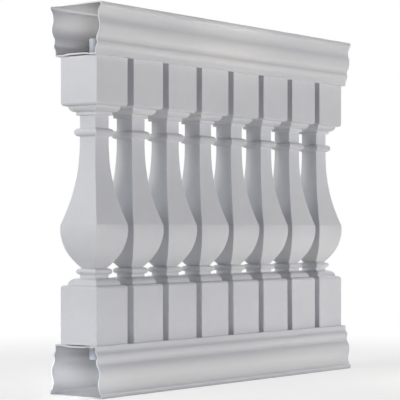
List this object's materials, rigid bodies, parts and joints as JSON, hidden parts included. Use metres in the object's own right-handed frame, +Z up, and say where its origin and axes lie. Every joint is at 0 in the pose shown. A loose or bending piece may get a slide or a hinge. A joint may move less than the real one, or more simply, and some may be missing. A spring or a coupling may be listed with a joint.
{
  "type": "balustrade section",
  "caption": "Straight deck railing section: hollow moulded top and bottom rails joined by square vase balusters, each on a core pipe.",
  "frame": {"origin": "centre of the bottom rail's flat underside, on the surface the section stands on", "axes": "+X along the rails, to the right in the picture; +Y from the pictured front to the back; +Z up"},
  "size_m": [1.2192, 0.1824, 1.04],
  "materials": {
    "rail": "white extruded, satin",
    "baluster": "white moulded, satin",
    "core_pipe": "white extruded pipe, matt"
  },
  "bodies": {
    "root": {"top_rail": "rail", "bottom_rail": "rail", "baluster_1": "baluster", "baluster_2": "baluster", "baluster_3": "baluster", "baluster_4": "baluster", "baluster_5": "baluster", "baluster_6": "baluster", "baluster_7": "baluster", "baluster_8": "baluster", "core_pipe_1": "core_pipe", "core_pipe_2": "core_pipe", "core_pipe_3": "core_pipe", "core_pipe_4": "core_pipe", "core_pipe_5": "core_pipe", "core_pipe_6": "core_pipe", "core_pipe_7": "core_pipe", "core_pipe_8": "core_pipe"}
  },
  "joints": []
}
